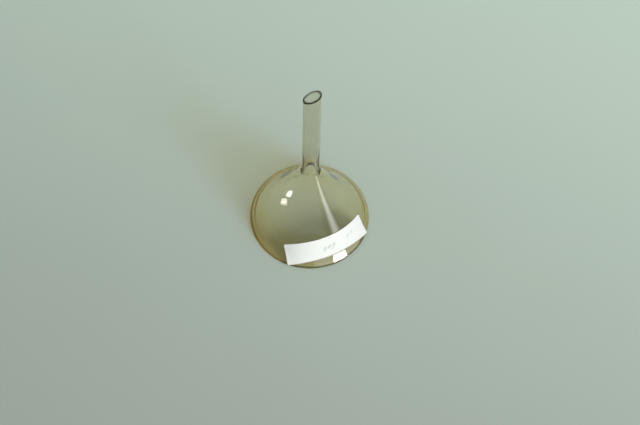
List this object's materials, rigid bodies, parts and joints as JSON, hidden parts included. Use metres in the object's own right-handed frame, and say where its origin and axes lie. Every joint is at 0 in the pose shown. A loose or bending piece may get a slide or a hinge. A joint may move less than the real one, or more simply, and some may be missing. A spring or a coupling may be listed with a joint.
{
  "type": "laboratory funnel",
  "caption": "Small clear glass funnel standing mouth down: thin flared conical bowl with a rounded lip, straight stem with a slanted tip, and a paper strip label gummed above the lip.",
  "frame": {"origin": "centre of the mouth, on the plane that the lip rests on", "axes": "+Z along the funnel's axis, from the mouth up the stem to its tip; -Y is the front, and the label's middle is turned 27.5 degrees from -Y towards +X"},
  "size_m": [0.06, 0.06, 0.1036],
  "materials": {
    "bowl_glass": "smooth fire-polished clear glass with a faint smoky olive tint",
    "stem_glass": "smooth clear drawn tube, with a rough chipped edge at the slanted tip",
    "gum": "dried gum film, slightly glossy and amber",
    "paper": "matt uncoated white paper with softly rounded corners"
  },
  "bodies": {
    "root": {"bowl": "bowl_glass", "stem": "stem_glass", "label_gum": "gum", "paper_label": "paper"}
  },
  "joints": []
}
